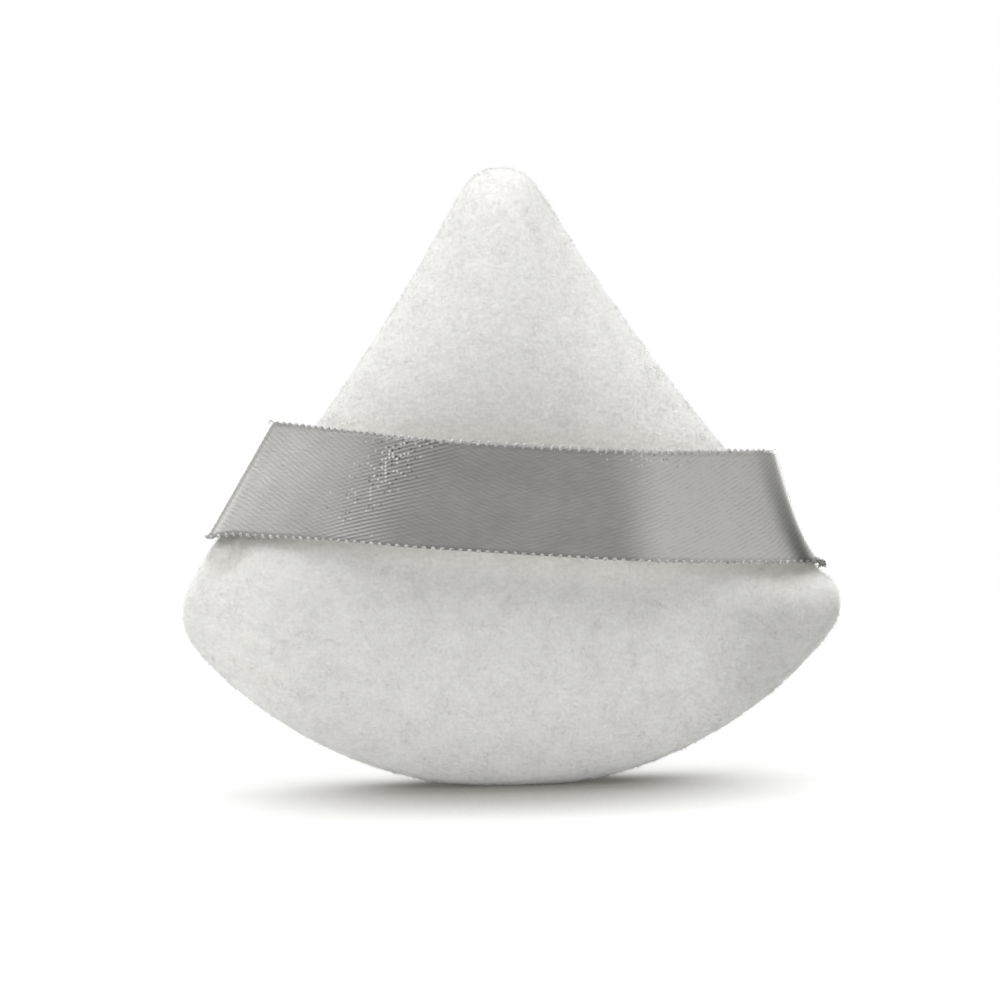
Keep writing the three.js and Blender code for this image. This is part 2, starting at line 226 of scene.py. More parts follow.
def smoothstep(value, low, high):
    t = np.clip((value - low) / (high - low), 0, 1)
    return t * t * (3 - 2 * t)


def lengths_along(points):
    """How far along a run each of its points is."""
    steps = np.linalg.norm(np.diff(points, axis=0), axis=1)
    return np.concatenate([[0], np.cumsum(steps)])


def points_at(wanted, station, points):
    """A run at the wanted lengths along it; station holds the lengths of its own points."""
    return np.stack([np.interp(wanted, station, column) for column in points.T], -1)


def resample(points, count):
    """Points with even steps along a closed run."""
    points = np.vstack([points, points[:1]])
    station = lengths_along(points)
    return points_at(np.linspace(0, station[-1], count, endpoint=False), station, points)


def rounded(values, sigma_steps):
    """A closed run of values, rounded by a Gaussian."""
    width = int(4 * sigma_steps) + 1
    offsets = np.arange(-width, width + 1)
    weights = np.exp(-0.5 * (offsets / sigma_steps) ** 2)
    weights /= weights.sum()
    return sum(w * np.roll(values, -o, axis=0) for w, o in zip(weights, offsets))


def waves(points, size, seed, count=14):
    """Soft noise from -1 to 1: a sum of seeded waves about so large."""
    own = np.random.default_rng(seed)
    total = np.zeros(len(points))
    for _ in range(count):
        direction = unit(own.normal(size=points.shape[1]))
        length = size * own.uniform(0.7, 1.6)
        total += np.sin(2 * math.pi * (points @ direction) / length + own.uniform(0, 2 * math.pi))
    return total / math.sqrt(count)


# The pad's rim, read from the front cover's solid

front_node = frame["nodes"]["front_cover"]
front_tree = tree_of(front_node.data)
front_low, front_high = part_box("front_cover")
back_low, back_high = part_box("back_cover")
SEAM_Y = (front_high.y + back_low.y) / 2
HALF_THICKNESS = (back_high.y - front_low.y) / 2
CENTRE = np.array([0, FULLEST_HEIGHT])


def foot_reach(direction):
    """From the fullest point to the circle of the lower edge, before it is made flat at the foot.
    """
    offset = CENTRE - BOTTOM_CENTRE
    half = offset @ direction
    return -half + math.sqrt(half**2 - offset @ offset + BOTTOM_RADIUS**2)


def rim_reach(direction):
    """From the fullest point to the solid's outline."""
    low, high = 0.0, 2 * front_high.z
    for _ in range(OUTLINE_HALVINGS):
        middle = (low + high) / 2
        x, z = CENTRE + direction * middle
        hit = front_tree.ray_cast(Vector((x, front_low.y - MM, z)), Vector((0, 1, 0)))
        low, high = (low, middle) if hit[0] is None else (middle, high)
    return low


def rim_points():
    """The rim with even steps, anticlockwise from the lowest point, and its outward normals."""
    points = []
    for angle in -math.pi / 2 + 2 * math.pi * np.arange(OUTLINE_ANGLES) / OUTLINE_ANGLES:
        direction = np.array([math.cos(angle), math.sin(angle)])
        foot = CENTRE + direction * foot_reach(direction)
        on_foot = direction[1] < 0 and abs(foot[0]) < FOOT_REACH
        points.append(foot if on_foot else CENTRE + direction * rim_reach(direction))
    points = resample(np.array(points), OUTLINE_ANGLES)
    length = np.linalg.norm(np.roll(points, -1, 0) - points, axis=1).sum()
    points = rounded(points, RIM_ROUNDING / (length / OUTLINE_ANGLES))
    points = resample(points, round(length / RIM_STEP))
    along = np.roll(points, -1, 0) - np.roll(points, 1, 0)
    return points, unit(np.stack([along[:, 1], -along[:, 0]], 1))


RIM, RIM_NORMALS = rim_points()


def half_gaps():
    """Half the gap between the covers along the rim: wider over the band and the closing thread."""
    gaps = []
    for x, z in RIM - RIM_NORMALS * 2.5 * CLOTH:
        hit = front_tree.ray_cast(Vector((x, SEAM_Y, max(z, 2 * MM))), Vector((0, -1, 0)))
        gaps.append(hit[3] if hit[0] is not None else PLAIN_HALF_GAP)
    return rounded(np.array(gaps), 1.5)


HALF_GAPS = half_gaps()
FOLDS = HALF_GAPS + CLOTH
RIM_OFFSETS = RIM - CENTRE
RIM_REACH = np.linalg.norm(RIM_OFFSETS, axis=1)
RIM_ANGLES = np.arctan2(RIM_OFFSETS[:, 1], RIM_OFFSETS[:, 0])
RIM_ORDER = np.argsort(RIM_ANGLES)


def along_rim(values, points):
    """What holds at the rim in the direction of each point."""
    offset = points - CENTRE
    angle = np.arctan2(offset[:, 1], offset[:, 0])
    return np.interp(angle, RIM_ANGLES[RIM_ORDER], values[RIM_ORDER], period=2 * math.pi)


def share_at(points):
    """How far out each point of the seam's plane is: 0 at the fullest point, 1 at the rim."""
    radius = np.linalg.norm(points - CENTRE, axis=1)
    spread = along_rim(RIM_REACH, points) - CROWN_RADIUS
    spread = np.where(np.abs(spread) < 1e-6, 1e-6, spread)
    inner = np.maximum(CROWN_RADIUS**2 + 4 * spread * radius, 0)
    return np.clip((np.sqrt(inner) - CROWN_RADIUS) / (2 * spread), 0, 1)


def at_share(share):
    """The ring of points at one share of the way out."""
    radius = share * (CROWN_RADIUS + (RIM_REACH - CROWN_RADIUS) * share)
    return CENTRE + unit(RIM_OFFSETS) * radius[:, None]


def crown_depth(share, fold, top):
    """The pad's depth at one share of the way out, from its top to its fold."""
    return fold + (top - fold) * (1 - share**CROWN_POWER) ** (1 / EDGE_POWER)


# The band's edges

def quadratic(a, b, c, steps):
    """Points on a bend from a to c that both ends meet in lines through b."""
    t = np.linspace(0, 1, steps)[:, None]
    return (1 - t) ** 2 * np.array(a) + 2 * t * (1 - t) * np.array(b) + t**2 * np.array(c)


def arch_shares():
    """The arch's points, as shares of its span and of its rise off the pad."""
    left, right = BEND_SHARES
    left_slope = (1 - LIFT_SHARE) / left
    right_slope = (1 - LIFT_SHARE) / (1 - right)
    ease = BEND_EASE_SHARE
    first, last = END_EASE_SHARES
    past_drop = 1.1 * DROP_EASE_SHARE
    parts = [
        quadratic((0, 0), (0, LIFT_SHARE), (first, LIFT_SHARE + first * left_slope), 12),
        [(share, LIFT_SHARE + share * left_slope) for share in (past_drop, *SLOPE_SHARES)],
        quadratic((left - ease, 1 - ease * left_slope), (left, 1), (left + ease, 1), 16),
        quadratic((right - ease, 1), (right, 1), (right + ease, 1 - ease * right_slope), 16),
        quadratic((1 - last, LIFT_SHARE + last * right_slope), (1, LIFT_SHARE), (1, 0), 12),
    ]
    return np.vstack(parts)


def band_edge(which):
    """One edge of the band from the tail in the left seam to the tail in the right one."""
    lower = which == "lower"
    front = HALF_THICKNESS + FINGER_GAP + SELVEDGE
    top = front if lower else front + BAND_WIDTH * math.sin(BAND_LEAN)
    out = np.array([math.cos(BAND_TILT), -math.sin(BAND_TILT)])
    tails, bulges, turns, drops = [], [], [], []
    for end in BAND_ENDS:
        x, z, bulge, turn = np.array(end[which]) * MM
        seam, outward = np.array([x, z]), out * end["side"]
        height = 0 if lower else BAND_WIDTH * math.cos(end["lean"])
        drops.append(BAND_LOW + height - math.tan(BAND_TILT) * x - z)
        left_over = end["kept"] + end["sag"] if lower else 0
        tail = [(*(seam - outward * back), 0) for back in (CLOTH + TAIL, CLOTH + TAIL / 2, CLOTH)]
        for share in np.linspace(0, 1, TURN_STEPS)[:-1]:
            angle = share * math.pi / 2
            at = seam + outward * (bulge - turn * (1 - math.sin(angle)))
            raised = (drops[-1] - left_over) * share
            tail.append((at[0], at[1] + raised, turn * (1 - math.cos(angle))))
        tails.append(np.array(tail))
        bulges.append(seam + outward * bulge)
        turns.append(turn)
    arch = []
    for across, rise in arch_shares():
        turn = turns[0] + (turns[1] - turns[0]) * across
        end, from_end = BAND_ENDS[round(across)], min(across, 1 - across)
        left_over = end["kept"] * (1 - smoothstep(from_end, 0, DROP_EASE_SHARE))
        left_over += end["sag"] * (1 - smoothstep(from_end, 0, SAG_SHARE))
        raised = drops[0] + (drops[1] - drops[0]) * across - (left_over if lower else 0)
        at = bulges[0] + (bulges[1] - bulges[0]) * across
        arch.append((at[0], at[1] + raised, turn + (top - turn) * rise))
    run = np.vstack([tails[0], arch, tails[1][::-1]])
    return np.stack([run[:, 0], SEAM_Y - run[:, 2], run[:, 1]], 1)


# Materials

def material_of(name, color, roughness):
    """A material with its node tree and its shader."""
    material = bpy.data.materials.new(name)
    material.use_nodes = True
    tree = material.node_tree
    shader = tree.nodes["Principled BSDF"]
    shader.inputs["Base Color"].default_value = (*color, 1)
    shader.inputs["Roughness"].default_value = roughness
    return material, tree, shader


def fill_in(tree, node, inputs):
    """Links a node's inputs to other nodes' sockets, or sets them to values."""
    for key, value in inputs.items():
        if isinstance(value, bpy.types.NodeSocket):
            tree.links.new(value, node.inputs[key])
        else:
            node.inputs[key].default_value = value


def add(tree, kind, inputs=None, **settings):
    """A node of a kind, which is named without its usual prefix."""
    node = tree.nodes.new("ShaderNode" + kind)
    for key, value in settings.items():
        setattr(node, key, value)
    fill_in(tree, node, inputs or {})
    return node


def maths(tree, operation, *values):
    return add(tree, "Math", dict(enumerate(values)), operation=operation).outputs[0]


def mix(tree, share, first, second):
    """A number between two."""
    return add(tree, "Mix", {"Factor": share, "A": first, "B": second}).outputs["Result"]


def blend(tree, share, first, second):
    """A colour between two."""
    return add(tree, "Mix", {0: share, 6: first, 7: second}, data_type="RGBA").outputs[2]


def either(tree, share, first, second):
    """A surface between two."""
    return add(tree, "MixShader", {0: share, 1: first, 2: second}).outputs[0]


def eased(tree, value, low, high):
    """0 at low and 1 at high, with soft ends."""
    return add(tree, "MapRange", {"Value": value, "From Min": low, "From Max": high},
        interpolation_type="SMOOTHSTEP").outputs["Result"]


def ramp(tree, value, stops):
    node = add(tree, "ValToRGB", {"Fac": value})
    elements = node.color_ramp.elements
    while len(elements) < len(stops):
        elements.new(0.5)
    for element, (position, color) in zip(elements, stops):
        element.position = position
        element.color = (*color, 1)
    return node.outputs["Color"]


def attribute(tree, name):
    return add(tree, "Attribute", attribute_name=name).outputs["Fac"]


def own_place(tree):
    return add(tree, "TexCoord").outputs["Object"]


def mapped(tree, place, **changes):
    return add(tree, "Mapping", {"Vector": place, **changes}).outputs["Vector"]


def noise(tree, place, scale, detail):
    inputs = {"Vector": place, "Scale": scale, "Detail": detail}
    return add(tree, "TexNoise", inputs).outputs["Fac"]


def bump(tree, height, distance, strength=1):
    inputs = {"Height": height, "Strength": strength, "Distance": distance}
    return add(tree, "Bump", inputs).outputs["Normal"]


def knit(tree):
    """Short streaks along the knit's rows and the speckle of its tufts, from 0 to 1."""
    at = own_place(tree)
    streaks = noise(tree, mapped(tree, at, Scale=(800, 800, 2600)), 1, 1)
    grain = mix(tree, 0.65, streaks, noise(tree, at, 2700, 1))
    tone = mix(tree, 0.1, grain, noise(tree, at, 110, 3))
    # Laid pile is smoother.
    evened = maths(tree, "MULTIPLY_ADD", attribute(tree, "laid"), 0.18, 0.25)
    return grain, mix(tree, evened, tone, 0.5)


def pressed_tint(tree, color):
    """Painted shade and shadow: the colour is darkened below the band, and tinted warm and dark in
    the creases and behind the band.
    """
    color = blend(tree, attribute(tree, "shade"), color, (0, 0, 0, 1))
    return blend(tree, attribute(tree, "pressed"), color, (0.52, 0.48, 0.4, 1))


def velour_material():
    material, tree, shader = material_of("velour", (0.84, 0.835, 0.805), 0.95)
    grain, tone = knit(tree)
    color = ramp(tree, tone, [(0.32, (0.73, 0.725, 0.7)), (0.5, (0.84, 0.835, 0.805)),
        (0.68, (0.95, 0.945, 0.915))])
    fill_in(tree, shader, {"Base Color": pressed_tint(tree, color),
        "Normal": bump(tree, grain, 0.12 * MM, 0.3),
        "Sheen Weight": 0.7, "Sheen Roughness": 0.5, "Specular IOR Level": 0.15})
    return material


def pile_material():
    material, tree, shader = material_of("velour_pile", (0.86, 0.855, 0.825), 1)
    _, tone = knit(tree)
    color = ramp(tree, tone, [(0.34, (0.755, 0.75, 0.725)), (0.66, (0.965, 0.96, 0.93))])
    # Each fibre is lit as the face it stands on, whichever of its sides is seen.
    shape = add(tree, "NewGeometry").outputs
    side = maths(tree, "MULTIPLY_ADD", shape["Backfacing"], -2.0, 1.0)
    outward = add(tree, "VectorMath", {0: shape["Normal"], "Scale": side}, operation="SCALE")
    fill_in(tree, shader, {"Base Color": pressed_tint(tree, color),
        "Normal": outward.outputs["Vector"],
        "Sheen Weight": 0.6, "Sheen Roughness": 0.5, "Specular IOR Level": 0.1})
    return material


def foam_material():
    material, tree, shader = material_of("foam", (0.9, 0.88, 0.82), 1)
    cells = add(tree, "TexVoronoi", {"Vector": own_place(tree), "Scale": 1800})
    cells = cells.outputs["Distance"]
    color = ramp(tree, cells, [(0.1, (0.78, 0.75, 0.68)), (0.6, (0.92, 0.9, 0.84))])
    fill_in(tree, shader, {"Base Color": color, "Normal": bump(tree, cells, 0.2 * MM)})
    return material


def thread_material():
    material, tree, shader = material_of("cotton_thread", (0.84, 0.835, 0.82), 0.8)
    turned = mapped(tree, own_place(tree), Rotation=(0.5, 0.6, 0.7))
    plies = add(tree, "TexWave", {"Vector": turned, "Scale": 900}).outputs["Fac"]
    color = ramp(tree, plies, [(0, (0.72, 0.715, 0.7)), (1, (0.88, 0.875, 0.86))])
    fill_in(tree, shader, {"Base Color": color, "Normal": bump(tree, plies, 0.05 * MM)})
    return material


def satin_material():
    material, tree, shader = material_of("satin", (0.36, 0.355, 0.34), 0.36)
    uv = add(tree, "UVMap", uv_map="cloth").outputs["UV"]
    place = add(tree, "SeparateXYZ", {"Vector": uv}).outputs
    glint, lit = attribute(tree, "glint"), attribute(tree, "lit")

    # Fine lines of the weave, which rise to the right and show where the satin bends.
    slanted = mapped(tree, uv, Rotation=(0, 0, math.radians(-20)))
    lines = add(tree, "TexWave", {"Vector": slanted, "Scale": 710, "Distortion": 0.8,
        "Detail": 1}, bands_direction="Y").outputs["Fac"]
    strength = maths(tree, "MULTIPLY", attribute(tree, "open_weave"), 0.42)
    weave = maths(tree, "MULTIPLY", maths(tree, "SUBTRACT", lines, 0.5), strength)

    # Finer ones, broken here and there, rise towards both ends and show most where light falls.
    outwards = maths(tree, "ABSOLUTE", maths(tree, "SUBTRACT", place["X"], BAND_MIDDLE))
    mirrored = add(tree, "CombineXYZ", {"X": outwards, "Y": place["Y"]})
    rising = mapped(tree, mirrored.outputs["Vector"], Rotation=(0, 0, math.radians(-22)))
    twill = add(tree, "TexWave", {"Vector": rising, "Scale": 760, "Distortion": 3,
        "Detail": 2, "Detail Scale": 2}, bands_direction="Y").outputs["Fac"]
    strength = maths(tree, "MULTIPLY_ADD", lit, 0.1, 0.06)
    fine = maths(tree, "MULTIPLY", maths(tree, "SUBTRACT", twill, 0.5), strength)
    broken = maths(tree, "MULTIPLY_ADD", noise(tree, uv, 1000, 1), 4.0, -1.1)
    weave = maths(tree, "ADD", weave, maths(tree, "MULTIPLY", fine, broken))

    threads = noise(tree, mapped(tree, uv, Scale=(700, 4200, 1)), 1, 2)
    mottle = maths(tree, "MULTIPLY_ADD", threads, 0.18, 0.33)
    mottle = maths(tree, "MULTIPLY_ADD", noise(tree, uv, 260, 2), 0.16, mottle)
    # Painted light: the colour is lighter where the lit value is high, on the side panels and by
    # the left fold.
    tone = maths(tree, "MULTIPLY_ADD", lit, 0.4, maths(tree, "ADD", weave, mottle))
    color = ramp(tree, tone, [(0.2, (0.19, 0.186, 0.177)), (0.5, (0.345, 0.339, 0.324)),
        (0.9, (0.62, 0.613, 0.595))])

    # Painted glints: where the cloth bends most, spots are made near white, as single floats of the
    # weave catching the light, or near black, as painted shade in the gaps.
    floats = add(tree, "TexVoronoi", {"Vector": slanted, "Scale": 2300, "Randomness": 0.4},
        voronoi_dimensions="2D").outputs
    chance = add(tree, "SeparateColor", {"Color": floats["Color"]}).outputs["Red"]
    spot = maths(tree, "MULTIPLY", eased(tree, floats["Distance"], 0.4, 0.16),
        maths(tree, "MULTIPLY_ADD", glint, 0.6, 0.3))
    bright = maths(tree, "GREATER_THAN", chance, maths(tree, "MULTIPLY_ADD", glint, -0.42, 1.0))
    dark = maths(tree, "LESS_THAN", chance, maths(tree, "MULTIPLY", glint, 0.36))
    for chosen, tint in ((bright, (0.95, 0.95, 0.94, 1)), (dark, (0.03, 0.03, 0.03, 1))):
        color = blend(tree, maths(tree, "MULTIPLY", spot, chosen), color, tint)

    # A thin painted shade line where the satin meets its woven edges, as in a shallow furrow.
    from_middle = maths(tree, "ABSOLUTE", maths(tree, "SUBTRACT", place["Y"], BAND_WIDTH / 2))
    painted_furrow_shade = add(tree, "MapRange", {"Value": from_middle, "To Max": 0.14,
        "From Min": BAND_WIDTH / 2 - 0.85 * MM, "From Max": BAND_WIDTH / 2 - 0.6 * MM})
    color = blend(tree, painted_furrow_shade.outputs["Result"], color, (0.15, 0.147, 0.14, 1))

    # Painted shade: it is dark where it turns at the right fold.
    turned = maths(tree, "MULTIPLY", attribute(tree, "turned"), 0.85)
    color = blend(tree, turned, color, (0.07, 0.073, 0.066, 1))
    height = maths(tree, "MULTIPLY_ADD", threads, 0.12, weave)
    tangent = add(tree, "Tangent", direction_type="UV_MAP", uv_map="cloth")
    fill_in(tree, shader, {"Base Color": color, "Normal": bump(tree, height, 0.1 * MM, 0.4),
        "Tangent": tangent.outputs["Tangent"],
        "Metallic": 0.35, "Anisotropic": 0.7, "Anisotropic Rotation": 0.25})
    return material


def selvedge_material():
    material, tree, shader = material_of("selvedge", (0.46, 0.455, 0.44), 0.35)
    strands = noise(tree, own_place(tree), 2600, 1)
    color = ramp(tree, strands, [(0.3, (0.34, 0.335, 0.325)), (0.7, (0.64, 0.635, 0.62))])
    # Painted shade: dark where the band turns at the right fold; the loose threads are darkened by
    # the same value.
    color = blend(tree, attribute(tree, "turned"), color, (0.09, 0.093, 0.085, 1))
    fill_in(tree, shader, {"Base Color": color, "Normal": bump(tree, strands, 0.05 * MM),
        "Metallic": 0.05})
    return material


VELOUR = velour_material()
PILE = pile_material()
FOAM = foam_material()
THREAD = thread_material()
SATIN = satin_material()
WOVEN = selvedge_material()


# The covers

# Folds that the band's pull makes in the front cover, in millimetres, each with the strength of the
# warm painted shadow in it.
CREASES = [
    {"from": (-27.0, 27.0), "to": (-31.7, 23.6), "depth": 0.9, "width": 0.6, "pressed": 0.4},
    {"from": (31.6, 21.9), "to": (26.0, 21.3), "depth": 0.4, "width": 0.65, "pressed": 0.32},
]

# How strong the warm painted shadow is on the pile behind the band and just below its lower edge.
BAND_PAINTED_SHADOW = 0.3


def creases(points, size):
    """The folds at points of the seam's plane: each one's size there, summed."""
    total = np.zeros(len(points))
    for fold in CREASES:
        start, end = np.array(fold["from"]) * MM, np.array(fold["to"]) * MM
        axis = end - start
        share = (points - start) @ axis / (axis @ axis)
        off = np.linalg.norm(points - start - np.clip(share, 0, 1)[:, None] * axis, axis=1)
        fade = smoothstep(share, -0.3, 0.3) * (1 - smoothstep(share, 0.5, 1.2))
        total += fold[size] * fade * np.exp(-0.5 * (off / (fold["width"] * MM)) ** 2)
    return total


def above_band_edge(points):
    """How far points of the seam's plane lie above the line of the band's lower edge."""
    return points[:, 1] - (BAND_LOW - math.tan(BAND_TILT) * points[:, 0])


def mark_pressed(piece, points):
    """Marks at each point of the front the painted shadow of the creases and the band, how much its
    pile is laid, and the painted shade below the band.
    """
    plan = points[:, [0, 2]]
    above = above_band_edge(plan)
    behind_band = smoothstep(above, -1.8 * MM, -0.3 * MM)
    behind_band *= 1 - smoothstep(above, BAND_WIDTH - 4 * MM, BAND_WIDTH + MM)
    pressed = creases(plan, "pressed") + BAND_PAINTED_SHADOW * behind_band
    # Below the band the pile is brushed down. Painted shade: darker below the band's lower edge,
    # less so to the left and more to the right.
    laid = 1 - smoothstep(points[:, 2], *LAID_HEIGHTS)
    shade = PAINTED_SHADE_BELOW_BAND
    for side, (change, start, end) in ((-1, LEFT_PAINTED_SHADE), (1, RIGHT_PAINTED_SHADE)):
        shade = shade + change * smoothstep(side * points[:, 0] / MM, start, end)
    shade = smoothstep(-above, 0.5 * MM, 6 * MM) * shade
    # The back has none of this.
    front_share = smoothstep(SEAM_Y - points[:, 1], 0, 3 * MM)
    mark(piece, pressed=pressed * front_share, laid=laid * front_share, shade=shade * front_share)


def ring_faces(first, second, flipped=False):
    """Faces between two rings of points as long as the rim, given by their first points."""
    faces = []
    for i in range(len(RIM)):
        a, b = i, (i + 1) % len(RIM)
        if flipped:
            a, b = b, a
        faces.append((first + a, first + b, second + b, second + a))
    return faces


def layer(top, inset, lip):
    """Crown of one layer of the pad and its rings near the rim, as if it faced the front.

    Returns plan points, depths and faces; the first points are the rim's.
    """
    folds = FOLDS + lip
    rises = (RIM_DEPTHS / (top - folds.mean())) ** EDGE_POWER
    shares = (1 - rises) ** (1 / CROWN_POWER)
    shrink = 1 - inset / RIM_REACH[:, None]
    rings = [CENTRE + (at_share(s) - CENTRE) * shrink for s in shares]
    depths = [crown_depth(s, folds, top) for s in shares]
    count = len(RIM)
    faces = []
    for k in range(len(rings) - 1):
        faces += ring_faces(k * count, (k + 1) * count)

    # Inside the last ring the points lie on a grid of equal triangles.
    low, high = RIM.min(0), RIM.max(0)
    grid = []
    for k, z in enumerate(np.arange(low[1], high[1], GRID * math.sqrt(3) / 2)):
        for x in np.arange(low[0] + (k % 2) * GRID / 2, high[0], GRID):
            grid.append((x, z))
    grid = np.array(grid)
    grid = grid[share_at(grid) < shares[-1]]
    last = rings[-1]
    gap = np.array([np.linalg.norm(last - p, axis=1).min() for p in grid])
    grid = grid[gap > 0.6 * GRID]
    flat = np.vstack([last, grid])
    edges = [(i, (i + 1) % count) for i in range(count)]
    triangulated = delaunay_2d_cdt([Vector(p / MM) for p in flat], edges, [], 1, 1e-6)
    inner, origins = triangulated[2:4]
    numbers = [(len(rings) - 1) * count + origin[0] for origin in origins]
    faces += [tuple(numbers[v] for v in f) for f in inner]
    inner_depth = crown_depth(share_at(grid), along_rim(folds, grid), top)
    plan = np.vstack(rings[:-1] + [flat])
    return plan, np.concatenate(depths + [inner_depth]), faces


def cover_mesh():
    """The front cover: crown, fold at the seam and the seam allowance turned inwards.

    Returns points, faces and the numbers of the points that the seam holds.
    """
    plan, depth, faces = layer(HALF_THICKNESS, 0, 0)
    pinned = list(range(len(RIM)))
    last = 0
    # The seam draws the allowances' inner ends together, but for the band's.
    plain = HALF_GAPS < HALF_GAPS.min() + 0.001 * MM
    for k in range(1, FOLD_STEPS + 3):
        angle = math.pi / 2 * min(k / FOLD_STEPS, 1)
        back = max(k - FOLD_STEPS, 0) * ALLOWANCE / 2
        ring = RIM - RIM_NORMALS * (CLOTH * (1 - math.cos(angle)) + back)
        drawn = SEAM_DRAW * (back / ALLOWANCE) * plain * HALF_GAPS
        start = len(plan)
        plan = np.vstack([plan, ring])
        depth = np.concatenate([depth, FOLDS - CLOTH * math.sin(angle) - drawn])
        pinned += range(start, start + len(RIM))
        faces += ring_faces(last, start, flipped=True)
        last = start
    points = np.stack([plan[:, 0], -depth, plan[:, 1]], 1)
    return points, faces, pinned


front_points, cover_faces, PINNED = cover_mesh()


def cover(name, side):
    points = front_points.copy()
    faces = cover_faces
    if side < 0:
        points[:, 1] *= -1
        faces = [f[::-1] for f in faces]
    points[:, 1] += SEAM_Y
    return new_piece(name, points, faces, VELOUR)


def swell(piece, seed):
    """The cover's points filled by simulation: pressure from inside, sewn fast all round, the cloth
    cut a little full so that it puckers along the seam."""
    start = points_of(piece.data)
    loose = np.ones(len(start))
    loose[PINNED] = 0
    work = piece.copy()
    work.data = piece.data.copy()
    bpy.context.scene.collection.objects.link(work)
    begin = start.copy()
    begin[:, 1] += waves(start, 5 * MM, seed) * SIM_ROUGHNESS * loose
    work.data.vertices.foreach_set("co", (begin * SIM_SCALE).ravel())
    work.vertex_groups.new(name="pins").add(PINNED, 1, "REPLACE")
    cloth = work.modifiers.new("cloth", "CLOTH")
    for key, value in CLOTH_SETTINGS.items():
        setattr(cloth.settings, key, value)
    cloth.settings.effector_weights.gravity = 0
    cloth.point_cache.frame_end = SIM_FRAMES
    for frame_number in range(1, SIM_FRAMES + 1):
        bpy.context.scene.frame_set(frame_number)
    done = work.evaluated_get(bpy.context.evaluated_depsgraph_get()).to_mesh()
    moved = points_of(done) / SIM_SCALE - start
    bpy.context.scene.frame_set(1)
    bpy.data.objects.remove(work)
    moved[:, [0, 2]] *= IN_PLANE_SHARE
    length = np.linalg.norm(moved, axis=1, keepdims=True)
    capped = moved * np.minimum(1, SWELL_CAP / np.maximum(length, 1e-9))
    ends = np.empty(2 * len(piece.data.edges), dtype=int)
    piece.data.edges.foreach_get("vertices", ends)
    first, second = ends.reshape(-1, 2).T
    for _ in range(SWELL_SMOOTHING):
        total, count = capped.copy(), np.ones((len(capped), 1))
        for here, there in ((first, second), (second, first)):
            np.add.at(total, here, capped[there])
            np.add.at(count, here, 1)
        capped = total / count
    return start + capped * loose[:, None]


def finish_cover(piece, side, seed):
    """Swells the cover, presses in its creases and the foot, and rounds the mesh once."""
    points = points_of(piece.data)
    points = swell(piece, seed)
    plan = points[:, [0, 2]]
    share = share_at(plan)
    # The seam puckers: small hollows that die away within a few millimetres of it.
    on_rim = along_rim(np.arange(len(RIM)) * RIM_STEP, plan)
    along_seam = np.stack([on_rim, np.zeros(len(on_rim))], 1)
    near = np.exp(-((1 - share) / PUCKER_SHARE) ** 2)
    pucker = waves(along_seam, PUCKER_SIZE, seed + 1) * PUCKER * near
    unevenness = waves(plan, UNEVENNESS_SIZE, seed + 2, 8) * UNEVENNESS * (1 - share**4)
    inwards = pucker + unevenness
    if side > 0:
        inwards = inwards + creases(plan, "depth") * MM
    inwards[PINNED] = 0
    points[:, 1] += side * inwards
    points[:, 2] = np.maximum(points[:, 2], 0)
    piece.data.vertices.foreach_set("co", points.ravel())
    mark_pressed(piece, points)
    rounder = piece.modifiers.new("rounder", "SUBSURF")
    rounder.levels = rounder.render_levels = 1


def surface_of(piece):
    """The piece's points, normals and triangles with its modifiers on."""
    shown = piece.evaluated_get(bpy.context.evaluated_depsgraph_get())
    mesh = shown.to_mesh()
    mesh.calc_loop_triangles()
    corners = np.empty(3 * len(mesh.loop_triangles), dtype=int)
    mesh.loop_triangles.foreach_get("vertices", corners)
    normals = np.array([tuple(n.vector) for n in mesh.vertex_normals])
    points = points_of(mesh)
    shown.to_mesh_clear()
    return points, normals, corners.reshape(-1, 3)


